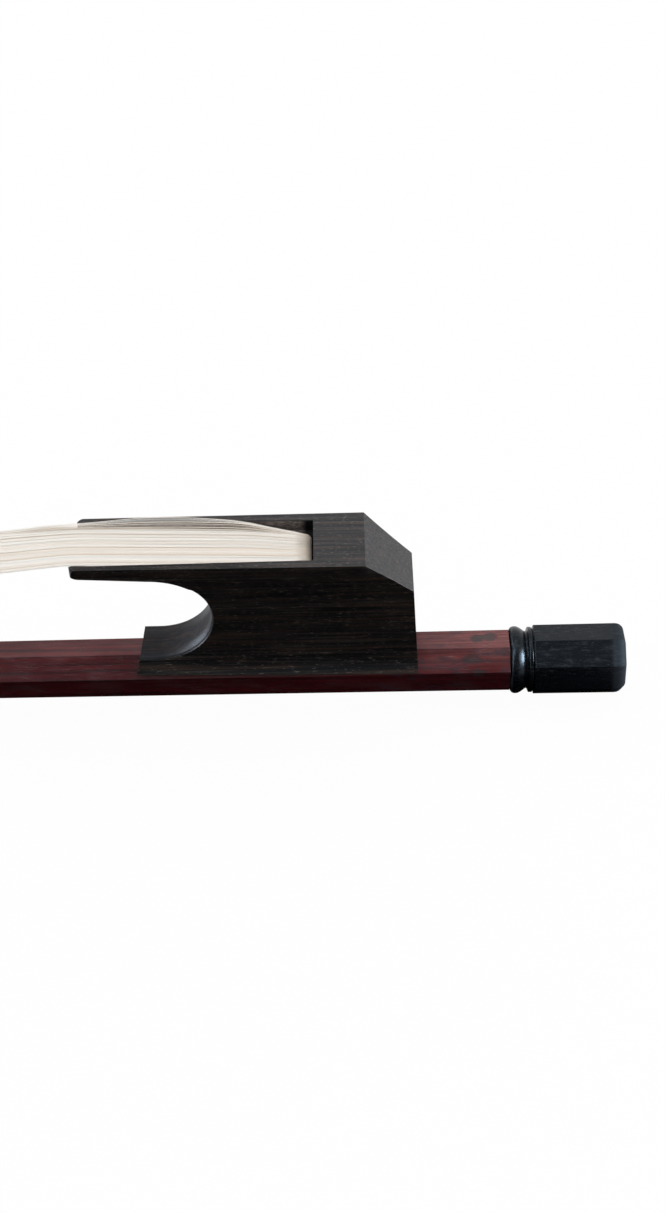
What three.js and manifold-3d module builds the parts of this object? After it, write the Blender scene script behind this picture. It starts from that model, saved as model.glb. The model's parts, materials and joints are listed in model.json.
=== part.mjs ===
// Cello bow of an early pattern: an octagonal cambered stick with its head carved in one,
// an open ebony frog that slides on the handle, a screw with an ebony button, and a ribbon
// of horsehair that is knotted and wedged into a mortise at each end.
// Millimetres. Pieces are drawn in the handle's frame: X is the stick's axis, the butt of the
// stick is at X = 0, the head lies towards -X and the hair is on the +Z side.
// The finished bow is laid hair side up, on its button and the back of its head.

import * as THREE from 'three';
import { mergeVertices } from 'three/addons/utils/BufferGeometryUtils.js';
import Module from 'manifold-3d';

const wasm = await Module();
wasm.setup();

// Whole bow
const bowLength = 713;
const fit = 0.3;
const overrun = 2;

// Stick: a regular octagon with one facet square to the hair
const buttFlats = 10.05;
const handleFlats = 9.4;
const headFlats = 6.2;
const handleLength = 90;
const camberDrop = 30;
const nippleDiameter = 5.6;
const nippleLength = 1.8;

// Head: the pike-shaped end of the stick
const headLength = 31.5;
const headHeight = 19;
const headThroatLength = 11;
const headFaceWidth = 11.4;
const headFaceRise = 1.1;
const headNoseWidth = 1;
const headBevelLength = 6.8;
const headTroughDepth = 1.2;
const headMortiseSetback = 12.4;

// Frog, measured forwards from its heel and up from the stick's axis
const heelSetback = 15.3;
const frogLength = 55.7;
const footLength = 46.7;
const frogHeight = 27.9;
const heelFaceWidth = 13;
const tongueFaceWidth = 12.4;
const waistWidth = 8;
const waistHeight = 10.5;
const skirtProud = 0.28;
const skirtLift = 0.36;
const skirtRise = 0.5;
const heelLean = 0.9;
const chamferLength = 7.8;
const chamferDrop = 7.4;
const throatDepth = 13.1;
const throatNoseFlat = 3;
const noseThickness = 0.62;
const noseLean = 0.55;
const frontSkew = 0.8;
const tongueRootThickness = 3.5;
const tongueTipThickness = 2.7;
const tongueCornerRadius = 1.2;
const tongueEndBevel = 1.7;

// Trough for the hair in the frog's face
const troughSetback = 16.9;
const troughRearWidth = 9.6;
const troughTipWidth = 10.5;
const troughRearDepth = 2.2;
const troughTipDepth = 1.25;

// Mortises that hold the hair's knots and plugs
const frogMortiseLength = 10;
const frogMortiseWidth = 7.2;
const frogMortiseDepth = 5.8;
const frogMortiseOffset = 0.3;
const headMortiseLength = 7.4;
const headMortiseWidth = 6.6;
const headMortiseDepth = 5.9;
const mortiseUndercut = 0.6;

// Hair, its knots and their bindings
const hairThickness = 0.8;
const hairHeadWidth = 8.4;
const hairSag = 3.7;
const hairFoldRadius = 1.1;
const hairSpreadLength = 9;
const knotRadius = 1.3;
const knotNeckRadius = 0.95;
const knotLength = 4.4;
const bindingRadius = 1.6;
const bindingLength = 1.6;

// Screw, and the eyelet that it draws along its slot
const screwDiameter = 3.3;
const threadCoreDiameter = 2.7;
const screwPastEyelet = 5;
const threadLength = 24;
const tangWidth = 2.4;
const tangLength = 11;
const eyeletLength = 6.5;
const eyeletWidth = 4.4;
const eyeletHeight = 5.4;
const postDiameter = 3.6;
const postLength = 9;
const frogTravelBack = 6;
const frogTravelForward = 1.8;

// Button: collar first, then the octagonal body
const buttonFlats = 11;
const buttonEndFlats = 11.1;
const buttonLength = 19.1;
const buttonTurnDegrees = -8.3;
const collarLength = 3.9;
const beadRadius = 5.65;
const coveRadius = 4.8;
const ringRadius = 5.5;
const ringGrooveDepth = 0.3;
const buttonEndRounding = 1.5;
const buttonEndInset = 1.3;
const nippleRecessDepth = 2.3;

// Facets of the octagon, and how finely curves are cut
const facets = 8;
const facetHalfAngle = Math.PI / facets;
const roundSteps = 24;
const throatSteps = 22;
const camberSteps = 36;
const sideSteps = 18;
const headSlices = 18;
const hairRidges = 14;
const spanSteps = 12;
const foldSteps = 5;
const frogWaistUpperPower = 2.4;
const frogWaistLowerPower = 5.4;

// Places that follow from the sizes above
const quarterTurn = Math.PI / 2;
const buttonStartX = fit;
const bowTipX = buttonStartX + buttonLength - bowLength;
const headRootX = bowTipX + headLength;
const camberStartX = -handleLength;
const camberSpan = camberStartX - headRootX;
const eyeletX = -(heelSetback + footLength / 2);
const screwReach = -eyeletX + eyeletLength / 2 + screwPastEyelet;
const boreRadius = screwDiameter / 2 + fit;
const skirtHeight = flatsAt(-heelSetback) / 2 * Math.tan(facetHalfAngle) + skirtLift;
const noseTopZ = flatsAt(-heelSetback - footLength) / 2 + fit + noseThickness;
const throatTopZ = frogHeight - tongueRootThickness;
const troughLength = frogLength - troughSetback;
const tangStartX = nippleRecessDepth - fit;

// Across flats of the stick: a slow taper along the handle and a quicker one to the head.
function flatsAt(x) {
  if (x > -handleLength) {
    return THREE.MathUtils.mapLinear(x, 0, -handleLength, buttFlats, handleFlats);
  }
  const share = Math.min((-handleLength - x) / (-handleLength - headRootX), 1);
  return THREE.MathUtils.lerp(handleFlats, headFlats, share);
}

// Axis of the stick: straight along the handle, then bending away from the hair.
function axisAt(x) {
  const run = Math.max(camberStartX - x, 0);
  const z = -camberDrop * (run / camberSpan) ** 2;
  const slope = Math.atan(2 * camberDrop * run / camberSpan ** 2);
  return { x, z, slope };
}

// Height of the trough's floor and half its width at a distance from the frog's heel.
function troughShare(fromHeel) {
  return (fromHeel - troughSetback) / troughLength;
}

function troughFloorAt(fromHeel) {
  const depth = THREE.MathUtils.lerp(troughRearDepth, troughTipDepth, troughShare(fromHeel));
  return frogHeight - depth;
}

function troughHalfAt(fromHeel) {
  return THREE.MathUtils.lerp(troughRearWidth, troughTipWidth, troughShare(fromHeel)) / 2;
}

// Welds a geometry's corners and leaves out triangles that the welding closed up.
function welded(geometry) {
  const bare = geometry.clone();
  bare.deleteAttribute('normal');
  bare.deleteAttribute('uv');
  const joined = mergeVertices(bare);
  const corners = joined.index.array;
  const kept = [];
  for (let i = 0; i < corners.length; i += 3) {
    const [a, b, c] = [corners[i], corners[i + 1], corners[i + 2]];
    if (a !== b && b !== c && c !== a) {
      kept.push(a, b, c);
    }
  }
  joined.setIndex(kept);
  return joined;
}

function solidOf(geometry) {
  const closed = welded(geometry);
  return new wasm.Manifold(new wasm.Mesh({
    numProp: 3,
    vertProperties: new Float32Array(closed.attributes.position.array),
    triVerts: new Uint32Array(closed.index.array),
  }));
}

function geometryOf(solid) {
  const mesh = solid.getMesh();
  const geometry = new THREE.BufferGeometry();
  geometry.setAttribute('position', new THREE.BufferAttribute(new Float32Array(mesh.vertProperties), 3));
  geometry.setIndex(Array.from(mesh.triVerts));
  return geometry;
}

// Joins the first geometries and takes the others away from them.
function carve(added, removed) {
  let solid = solidOf(added[0]);
  for (const more of added.slice(1)) {
    solid = solid.add(solidOf(more));
  }
  for (const cutter of removed) {
    solid = solid.subtract(solidOf(cutter));
  }
  return geometryOf(solid);
}

function signedVolume(positions, indices) {
  const [a, b, c] = [new THREE.Vector3(), new THREE.Vector3(), new THREE.Vector3()];
  let total = 0;
  for (let i = 0; i < indices.length; i += 3) {
    a.fromArray(positions, indices[i] * 3);
    b.fromArray(positions, indices[i + 1] * 3);
    c.fromArray(positions, indices[i + 2] * 3);
    total += a.dot(b.cross(c));
  }
  return total;
}

// A closed skin over sections with the same number of points, each an outline in its own frame.
function loft(sections) {
  const count = sections[0].outline.length;
  const positions = [];
  for (const { outline, frame } of sections) {
    for (const point of outline) {
      const placed = new THREE.Vector3(point.x, point.y, 0).applyMatrix4(frame);
      positions.push(placed.x, placed.y, placed.z);
    }
  }
  const indices = [];
  for (let s = 0; s < sections.length - 1; s += 1) {
    for (let i = 0; i < count; i += 1) {
      const next = (i + 1) % count;
      const [a, b] = [s * count + i, s * count + next];
      const [c, d] = [b + count, a + count];
      indices.push(a, b, c, a, c, d);
    }
  }
  const last = (sections.length - 1) * count;
  for (const [a, b, c] of THREE.ShapeUtils.triangulateShape(sections[0].outline, [])) {
    indices.push(c, b, a);
  }
  for (const [a, b, c] of THREE.ShapeUtils.triangulateShape(sections.at(-1).outline, [])) {
    indices.push(last + a, last + b, last + c);
  }
  if (signedVolume(positions, indices) < 0) {
    indices.reverse();
  }
  const geometry = new THREE.BufferGeometry();
  geometry.setAttribute('position', new THREE.Float32BufferAttribute(positions, 3));
  geometry.setIndex(indices);
  return geometry;
}

// The frame of a section across the bow at (x, z), leaning with the slope of the stick:
// an outline's first coordinate runs along Y and its second towards the hair.
function acrossFrame(x, z, slope) {
  const across = new THREE.Vector3(0, 1, 0);
  const up = new THREE.Vector3(-Math.sin(slope), 0, Math.cos(slope));
  const along = new THREE.Vector3().crossVectors(across, up);
  return new THREE.Matrix4().makeBasis(across, up, along).setPosition(x, 0, z);
}

function octagon(flats) {
  const radius = flats / 2 / Math.cos(facetHalfAngle);
  const corners = [];
  for (let i = 0; i < facets; i += 1) {
    const angle = facetHalfAngle * (2 * i + 1);
    corners.push(new THREE.Vector2(radius * Math.cos(angle), radius * Math.sin(angle)));
  }
  return corners;
}

function rectangle(yLow, yHigh, zLow, zHigh) {
  return [
    new THREE.Vector2(yLow, zLow),
    new THREE.Vector2(yHigh, zLow),
    new THREE.Vector2(yHigh, zHigh),
    new THREE.Vector2(yLow, zHigh),
  ];
}

// A side outline in X and Z, drawn out to the given width across the bow.
function slab(shape, width, steps = roundSteps) {
  const geometry = new THREE.ExtrudeGeometry(shape, {
    depth: width,
    bevelEnabled: false,
    curveSegments: steps,
  });
  geometry.rotateX(quarterTurn);
  geometry.translate(0, width / 2, 0);
  return geometry;
}

// A round rod along X from one place to another.
function rod(radius, fromX, toX) {
  const geometry = new THREE.CylinderGeometry(radius, radius, toX - fromX, roundSteps);
  geometry.rotateZ(quarterTurn);
  geometry.translate((fromX + toX) / 2, 0, 0);
  return geometry;
}

// A turned form about X: its profile gives a place along X and a radius.
function turned(profile, steps = roundSteps) {
  const geometry = new THREE.LatheGeometry(profile.map(([x, r]) => new THREE.Vector2(r, x)), steps);
  geometry.rotateZ(-quarterTurn);
  if (signedVolume(geometry.attributes.position.array, geometry.index.array) < 0) {
    geometry.index.array.reverse();
  }
  return geometry;
}

// Stick

function stickShaft() {
  const sections = [{ outline: octagon(flatsAt(0)), frame: acrossFrame(0, 0, 0) }];
  for (let i = 0; i <= camberSteps; i += 1) {
    const x = THREE.MathUtils.lerp(camberStartX, headRootX, i / camberSteps);
    const { z, slope } = axisAt(x);
    sections.push({ outline: octagon(flatsAt(x)), frame: acrossFrame(x, z, slope) });
  }
  return loft(sections);
}

// Line of the head's front ridge, from the back of the stick to the tip of the nose.
function ridgeCurve() {
  const half = headFlats / 2;
  const bellyShares = [0.54, 0.68];
  const noseDropShare = 0.36;
  return new THREE.CubicBezierCurve(
    new THREE.Vector2(half, -half),
    new THREE.Vector2(headLength * bellyShares[0], -half),
    new THREE.Vector2(headLength * bellyShares[1], headHeight * (1 - noseDropShare)),
    new THREE.Vector2(headLength, headHeight),
  );
}

function ridgeReachAt(ridge, height) {
  const after = Math.max(ridge.findIndex((point) => point.y >= height), 1);
  const [low, high] = [ridge[after - 1], ridge[after]];
  return THREE.MathUtils.mapLinear(height, low.y, high.y, low.x, high.x);
}

// The throat behind the head's face is a quarter of an ellipse down to the stick.
function throatHeights() {
  const rise = headHeight - headFlats / 2;
  const heights = [];
  for (let i = 0; i <= headSlices; i += 1) {
    heights.push(headHeight - rise * Math.cos(quarterTurn * i / headSlices));
  }
  return heights;
}

function throatReachAt(height) {
  const share = (headHeight - height) / (headHeight - headFlats / 2);
  return headThroatLength * Math.sqrt(1 - Math.min(share, 1) ** 2);
}

// Half the stick's width at a height above its axis, where the head begins.
function stickHalfAt(height) {
  const half = headFlats / 2;
  const cornerHalf = half * Math.tan(facetHalfAngle);
  return Math.min(half, half + cornerHalf - Math.abs(height));
}

// The head in its own frame: X back along the stick, Z towards the hair. Low slices end
// flush with the stick's facets; above them the throat's face widens into flat cheeks, and
// the cheeks are bevelled forwards to a ridge. The upper slices lean up towards the nose.
function headBlock() {
  const half = headFlats / 2;
  const ridge = ridgeCurve().getPoints(headSlices * headSlices);
  const throatFlareShare = 1.6;
  const noseRisePower = 3;
  const corner = half * Math.tan(facetHalfAngle);
  const curves = [...ridgeCurve().getPoints(headSlices).map((point) => point.y), ...throatHeights()];
  const heights = [...curves, -corner, corner].sort((a, b) => a - b);
  const spacing = headHeight / headSlices / facets;
  const kept = heights.filter((height, i) => i === 0 || height - heights[i - 1] > spacing);
  const rings = kept.map((height) => {
    const front = ridgeReachAt(ridge, height);
    const up = Math.max(height / headHeight, 0);
    const cheek = stickHalfAt(Math.min(height, 0)) + (headFaceWidth / 2 - half) * up ** 2;
    const inStick = height <= half;
    const rear = inStick ? -fit : throatReachAt(height);
    const opened = Math.min((height - half) / (headThroatLength / 2), 1);
    const rearHalf = inStick ? stickHalfAt(height)
      : THREE.MathUtils.lerp(stickHalfAt(half), cheek, Math.sqrt(opened));
    const flare = Math.min(rear + (cheek - rearHalf) * throatFlareShare, front);
    const bevel = THREE.MathUtils.lerp(half, headBevelLength, front / headLength);
    const shoulder = Math.max(front - bevel, flare);
    const lean = headFaceRise * up ** noseRisePower;
    const tip = Math.min(cheek, headNoseWidth / 2);
    const side = [[rear, rearHalf], [flare, cheek], [shoulder, cheek], [front, tip]];
    const ring = [...side, ...side.map(([forward, y]) => [forward, -y]).reverse()];
    return ring.map(([forward, y]) => {
      const rise = lean * (forward - headThroatLength) / (headLength - headThroatLength);
      return [-forward, y, height + rise];
    });
  });
  return skin(rings);
}

// A closed skin over rings of points that are given in place; the end rings are flat fans.
function skin(rings) {
  const count = rings[0].length;
  const positions = rings.flat(2);
  const indices = [];
  for (let s = 0; s < rings.length - 1; s += 1) {
    for (let i = 0; i < count; i += 1) {
      const next = (i + 1) % count;
      const [a, b] = [s * count + i, s * count + next];
      indices.push(a, b, b + count, a, b + count, a + count);
    }
  }
  const last = (rings.length - 1) * count;
  for (let i = 1; i < count - 1; i += 1) {
    indices.push(i + 1, i, 0);
    indices.push(last, last + i, last + i + 1);
  }
  if (signedVolume(positions, indices) < 0) {
    indices.reverse();
  }
  const geometry = new THREE.BufferGeometry();
  geometry.setAttribute('position', new THREE.Float32BufferAttribute(positions, 3));
  geometry.setIndex(indices);
  return geometry;
}

// Where the head's own frame stands in the handle's frame.
function headFrame() {
  const { x, z, slope } = axisAt(headRootX);
  return new THREE.Matrix4().makeRotationY(-slope).setPosition(x, 0, z);
}

const headMortiseWall = headLength - headMortiseSetback;
const headTroughFloor = headHeight - headTroughDepth;

function headTrough() {
  const half = hairHeadWidth / 2 + fit;
  const length = headMortiseWall - headThroatLength + overrun;
  const geometry = new THREE.BoxGeometry(length, 2 * half, headTroughDepth + overrun);
  geometry.translate(-headMortiseWall + length / 2, 0, headTroughFloor + (headTroughDepth + overrun) / 2);
  return geometry;
}

// The eyelet's slot is cut in from the facet that faces the hair.
function eyeletSlot() {
  const fromX = eyeletX - eyeletLength / 2 - frogTravelForward - 2 * fit;
  const toX = eyeletX + eyeletLength / 2 + frogTravelBack + 2 * fit;
  const bottom = -eyeletHeight / 2 - fit;
  const height = buttFlats - bottom;
  const geometry = new THREE.BoxGeometry(toX - fromX, eyeletWidth + 2 * fit, height);
  geometry.translate((fromX + toX) / 2, 0, bottom + height / 2);
  return geometry;
}

function stickGeometry() {
  const inHead = headFrame();
  const screwTipX = -screwReach - 2 * fit;
  return carve(
    [
      stickShaft(),
      headBlock().applyMatrix4(inHead),
      rod(nippleDiameter / 2, -nippleLength, nippleLength),
    ],
    [
      rod(boreRadius, screwTipX, nippleLength + overrun),
      eyeletSlot(),
      headTrough().applyMatrix4(inHead),
      mortiseCavity(headMortise).applyMatrix4(headMortiseFrame).applyMatrix4(inHead),
    ],
  );
}

// Mortises, plugs and knots share one frame: X runs from the wall where the hair comes up
// to the opposite wall, and Z = 0 is the floor of the trough over the mortise.
const frogMortise = { length: frogMortiseLength, width: frogMortiseWidth, depth: frogMortiseDepth };
const headMortise = { length: headMortiseLength, width: headMortiseWidth, depth: headMortiseDepth };
const frogMortiseFrame = new THREE.Matrix4()
  .makeRotationZ(Math.PI)
  .setPosition(-troughSetback, -frogMortiseOffset, troughFloorAt(troughSetback));
const headMortiseFrame = new THREE.Matrix4().makeTranslation(-headMortiseWall, 0, headTroughFloor);

function mortiseCavity({ length, width, depth }) {
  const side = new THREE.Shape();
  side.moveTo(0, overrun);
  side.lineTo(0, -depth);
  side.lineTo(length + mortiseUndercut, -depth);
  side.lineTo(length, 0);
  side.lineTo(length, overrun);
  side.closePath();
  return slab(side, width);
}

// The plug's rounded edge is what the hair folds over.
function plugGeometry({ length, width, depth }) {
  const hairSide = 2 * fit + hairThickness;
  const foldX = fit + hairThickness / 2 + hairFoldRadius;
  const edgeRadius = foldX - hairSide;
  const bottom = -depth + 2 * fit + 2 * bindingRadius;
  const lean = mortiseUndercut * -bottom / depth;
  const side = new THREE.Shape();
  side.moveTo(hairSide, bottom);
  side.lineTo(length - fit + lean, bottom);
  side.lineTo(length - fit, 0);
  side.lineTo(foldX, 0);
  side.absarc(foldX, -edgeRadius, edgeRadius, quarterTurn, Math.PI, false);
  side.closePath();
  return slab(side, width - 2 * fit, foldSteps);
}

function knotGeometry({ depth }) {
  const start = 2 * fit + hairThickness;
  const shoulder = (knotLength - bindingLength) / 2 - fit;
  const sealedEndShare = 0.9;
  const geometry = turned([
    [0, 0],
    [0, knotRadius],
    [shoulder, knotRadius],
    [shoulder, knotNeckRadius],
    [knotLength - shoulder, knotNeckRadius],
    [knotLength - shoulder, knotRadius],
    [knotLength, knotRadius * sealedEndShare],
    [knotLength, 0],
  ]);
  geometry.translate(start, 0, fit + bindingRadius - depth);
  return geometry;
}

// Turns of thread round the knot's neck, drawn as one ridged ring.
function bindingGeometry({ depth }) {
  const turns = 4;
  const grooveShare = 0.75;
  const inner = knotNeckRadius + fit;
  const groove = THREE.MathUtils.lerp(inner, bindingRadius, grooveShare);
  const start = 2 * fit + hairThickness + (knotLength - bindingLength) / 2;
  const profile = [[0, inner]];
  for (let i = 0; i <= 2 * turns; i += 1) {
    profile.push([bindingLength * i / (2 * turns), i % 2 ? bindingRadius : groove]);
  }
  profile.push([bindingLength, inner], [0, inner]);
  const geometry = turned(profile);
  geometry.translate(start, 0, fit + bindingRadius - depth);
  return geometry;
}

// Frog, in a frame with its heel's lower edge at X = 0

// The front ends of the tongue and the foot aren't square to the stick: the far side is shorter.
function skewed(geometry) {
  const places = geometry.attributes.position;
  for (let i = 0; i < places.count; i += 1) {
    const reach = (-places.getX(i) - footLength + throatDepth) / (throatDepth - throatNoseFlat);
    const across = places.getY(i) / tongueFaceWidth + 1 / 2;
    places.setX(i, places.getX(i) + frontSkew * across * THREE.MathUtils.clamp(reach, 0, 1));
  }
  return geometry;
}

function frogProfile() {
  const centreX = -(footLength - throatNoseFlat);
  const centreZ = (noseTopZ + throatTopZ) / 2;
  const tipUnderZ = frogHeight - tongueTipThickness;
  const profile = new THREE.Shape();
  profile.moveTo(0, skirtHeight);
  profile.lineTo(-heelLean, frogHeight - chamferDrop);
  profile.lineTo(-heelLean - chamferLength, frogHeight);
  profile.lineTo(-frogLength, frogHeight);
  profile.lineTo(-frogLength, tipUnderZ + tongueEndBevel);
  profile.quadraticCurveTo(-frogLength, tipUnderZ, -frogLength + tongueEndBevel, tipUnderZ);
  profile.lineTo(centreX, throatTopZ);
  profile.absellipse(centreX, centreZ, throatDepth - throatNoseFlat, (throatTopZ - noseTopZ) / 2,
    quarterTurn, -quarterTurn, true);
  profile.lineTo(-footLength + noseLean, noseTopZ);
  profile.lineTo(-footLength, skirtHeight + skirtRise);
  profile.closePath();
  return skewed(slab(profile, heelFaceWidth + 2 * overrun, throatSteps));
}

// Half-width of the frog's hollowed side at a height, for a given half-width of its face.
function sideHalf(z, faceHalf) {
  const waistHalf = waistWidth / 2;
  const skirtHalf = flatsAt(-heelSetback) / 2 + skirtProud;
  if (z > waistHeight) {
    const share = (z - waistHeight) / (frogHeight - waistHeight);
    return waistHalf + (faceHalf - waistHalf) * share ** frogWaistUpperPower;
  }
  const share = (waistHeight - z) / (waistHeight - skirtHeight);
  return waistHalf + (skirtHalf - waistHalf) * share ** frogWaistLowerPower;
}

function hollowOutline(faceHalf) {
  const side = [[sideHalf(skirtHeight, faceHalf), skirtHeight - overrun]];
  for (let i = 0; i <= sideSteps; i += 1) {
    const z = THREE.MathUtils.lerp(skirtHeight, frogHeight, i / sideSteps);
    side.push([sideHalf(z, faceHalf), z]);
  }
  side.push([faceHalf, frogHeight + overrun]);
  const right = side.map(([y, z]) => new THREE.Vector2(y, z));
  const left = side.map(([y, z]) => new THREE.Vector2(-y, z)).reverse();
  return [...right, ...left];
}

function frogSides() {
  return loft([
    { outline: hollowOutline(heelFaceWidth / 2), frame: acrossFrame(overrun, 0, 0) },
    { outline: hollowOutline(heelFaceWidth / 2), frame: acrossFrame(0, 0, 0) },
    { outline: hollowOutline(tongueFaceWidth / 2), frame: acrossFrame(-frogLength, 0, 0) },
    { outline: hollowOutline(tongueFaceWidth / 2), frame: acrossFrame(-frogLength - overrun, 0, 0) },
  ]);
}

// Plan of the frog from above, with the corners of the tongue rounded off.
function frogPlan() {
  const half = heelFaceWidth / 2 + overrun;
  const tipHalf = tongueFaceWidth / 2;
  const roundX = -frogLength + tongueCornerRadius;
  const plan = new THREE.Shape();
  plan.moveTo(overrun, -half);
  plan.lineTo(overrun, half);
  plan.lineTo(roundX, half);
  plan.lineTo(roundX, tipHalf);
  plan.absarc(roundX, tipHalf - tongueCornerRadius, tongueCornerRadius, quarterTurn, Math.PI, false);
  plan.absarc(roundX, tongueCornerRadius - tipHalf, tongueCornerRadius, Math.PI, 3 * quarterTurn, false);
  plan.lineTo(roundX, -half);
  plan.closePath();
  return skewed(new THREE.ExtrudeGeometry(plan, {
    depth: frogHeight + overrun,
    bevelEnabled: false,
    curveSegments: foldSteps,
  }));
}

function frogChannel() {
  const section = (x) => ({
    outline: octagon(flatsAt(x - heelSetback) + 2 * fit),
    frame: acrossFrame(x, 0, 0),
  });
  return loft([section(overrun), section(-footLength - overrun)]);
}

function frogTrough() {
  const section = (fromHeel) => {
    const half = troughHalfAt(fromHeel);
    return {
      outline: rectangle(-half, half, troughFloorAt(fromHeel), frogHeight + overrun),
      frame: acrossFrame(-fromHeel, 0, 0),
    };
  };
  return loft([section(troughSetback), section(frogLength + overrun)]);
}

// A hole up into the frog from its channel, for the eyelet's post.
function postHole() {
  const top = buttFlats / 2 + postLength + fit;
  const radius = postDiameter / 2 + fit;
  const geometry = new THREE.CylinderGeometry(radius, radius, top, roundSteps);
  geometry.rotateX(quarterTurn);
  geometry.translate(eyeletX + heelSetback, 0, top / 2);
  return geometry;
}

function frogGeometry() {
  let solid = solidOf(frogProfile());
  solid = solid.intersect(solidOf(frogSides()));
  solid = solid.intersect(solidOf(frogPlan()));
  const cutters = [
    frogChannel(),
    frogTrough(),
    mortiseCavity(frogMortise).applyMatrix4(frogMortiseFrame),
    postHole(),
  ];
  for (const cutter of cutters) {
    solid = solid.subtract(solidOf(cutter));
  }
  return geometryOf(solid);
}

// Eyelet, in a frame with the screw's axis along X through its eye

function eyeletGeometry() {
  const half = eyeletWidth / 2;
  const shoulder = eyeletHeight / 2 - half;
  const eye = new THREE.Shape();
  eye.moveTo(-half, -shoulder);
  eye.absarc(0, -shoulder, half, Math.PI, 2 * Math.PI, false);
  eye.lineTo(half, eyeletHeight / 2);
  eye.lineTo(-half, eyeletHeight / 2);
  eye.closePath();
  const block = new THREE.ExtrudeGeometry(eye, {
    depth: eyeletLength,
    bevelEnabled: false,
    curveSegments: roundSteps / 2,
  });
  block.applyMatrix4(acrossFrame(-eyeletLength / 2, 0, 0));
  const postTop = buttFlats / 2 + postLength;
  const postRadius = postDiameter / 2;
  const post = new THREE.CylinderGeometry(postRadius, postRadius, postTop - half, roundSteps);
  post.rotateX(quarterTurn);
  post.translate(0, 0, (postTop + half) / 2);
  return carve([block, post], [rod(threadCoreDiameter / 2 + fit, -eyeletLength, eyeletLength)]);
}

// Screw and button, in a frame with the collar's front at X = 0

function screwGeometry() {
  const tipX = -screwReach - buttonStartX;
  const threadEndX = tipX + threadLength;
  const tang = new THREE.BoxGeometry(tangLength + fit, tangWidth, tangWidth);
  tang.translate(tangStartX + (tangLength - fit) / 2, 0, 0);
  return carve(
    [
      rod(screwDiameter / 2, threadEndX, tangStartX),
      rod(threadCoreDiameter / 2, tipX, threadEndX + fit),
      tang,
    ],
    [],
  );
}

// The collar's bead, cove and ring, as shares of its length.
function collarProfile() {
  const beadShares = [0, 0.06, 0.14, 0.22, 0.32, 0.44, 0.55, 0.64];
  const beadHeightShares = [0.45, 0.82, 0.97, 1, 0.93, 0.66, 0.3, 0];
  const profile = [[0, 0]];
  beadShares.forEach((share, i) => {
    const radius = THREE.MathUtils.lerp(coveRadius, beadRadius, beadHeightShares[i]);
    profile.push([share * collarLength, radius]);
  });
  const ringShares = [0.7, 0.77, 0.91, 0.96, 1];
  const grooveRadius = ringRadius - ringGrooveDepth;
  const ringRadii = [coveRadius, ringRadius, ringRadius, grooveRadius, grooveRadius];
  ringShares.forEach((share, i) => profile.push([share * collarLength, ringRadii[i]]));
  profile.push([collarLength + overrun, coveRadius]);
  profile.push([collarLength + overrun, 0]);
  return profile;
}

function buttonBody() {
  const turn = THREE.MathUtils.degToRad(buttonTurnDegrees);
  const roundingX = buttonLength - buttonEndRounding;
  const section = (x, flats) => ({
    outline: octagon(flats).map((point) => point.rotateAround(new THREE.Vector2(), turn)),
    frame: acrossFrame(x, 0, 0),
  });
  const sections = [section(collarLength, buttonFlats)];
  for (let i = 0; i <= foldSteps; i += 1) {
    const angle = quarterTurn * i / foldSteps;
    const x = roundingX + buttonEndRounding * Math.sin(angle);
    sections.push(section(x, buttonEndFlats - 2 * buttonEndInset * (1 - Math.cos(angle))));
  }
  return loft(sections);
}

function buttonGeometry() {
  const tangHoleLength = tangStartX + tangLength + fit;
  const tangHole = new THREE.BoxGeometry(tangHoleLength, tangWidth + 2 * fit, tangWidth + 2 * fit);
  tangHole.translate(tangHoleLength / 2, 0, 0);
  return carve(
    [turned(collarProfile(), 2 * roundSteps), buttonBody()],
    [rod(nippleDiameter / 2 + fit, -overrun, nippleRecessDepth), tangHole],
  );
}

// Hair: up out of the frog's mortise, folded over the plug, along the trough, over the open
// span with its sag, and down into the head's mortise. Each stop has a place in X and Z and
// the hair's two edges in Y.

function foldPoints(mortise, frame) {
  const wallX = fit + hairThickness / 2;
  const runZ = fit + hairThickness / 2;
  const points = [[wallX, fit - mortise.depth], [wallX, -mortise.depth / 2]];
  for (let i = 0; i <= foldSteps; i += 1) {
    const angle = Math.PI - quarterTurn * i / foldSteps;
    points.push([
      wallX + hairFoldRadius + hairFoldRadius * Math.cos(angle),
      runZ - hairFoldRadius + hairFoldRadius * Math.sin(angle),
    ]);
  }
  return points.map(([x, z]) => new THREE.Vector3(x, 0, z).applyMatrix4(frame));
}

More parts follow.
